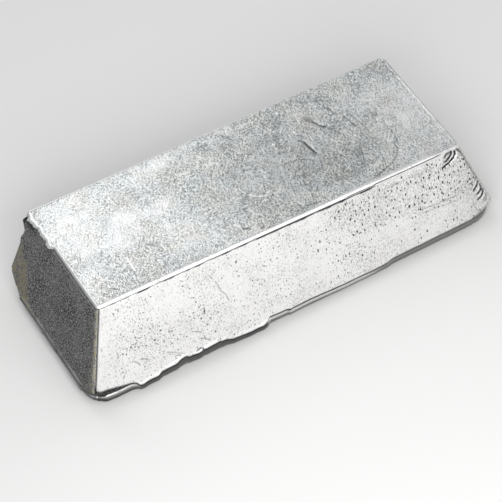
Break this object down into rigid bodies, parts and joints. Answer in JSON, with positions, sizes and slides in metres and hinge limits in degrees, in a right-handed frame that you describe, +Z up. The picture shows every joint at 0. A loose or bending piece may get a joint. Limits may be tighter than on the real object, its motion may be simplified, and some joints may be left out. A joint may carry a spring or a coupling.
{
  "type": "pewter ingot",
  "caption": "Tapered hand-cast bar of solid pewter with drawn-back rim corners, a rolled lower edge and a thin lip of flash, raw stock for melting and casting.",
  "frame": {"origin": "on the flat free surface of the pour, under the middle of the rim outline", "axes": "+X along the length, away from the deeper end; +Z up, from the free surface to the mould-floor face; -Y towards the side with the clean lip"},
  "size_m": [0.1606, 0.0718, 0.0391],
  "materials": {
    "pewter": "as-cast satin, silvery grey"
  },
  "bodies": {
    "root": {"ingot": "pewter"}
  },
  "joints": []
}
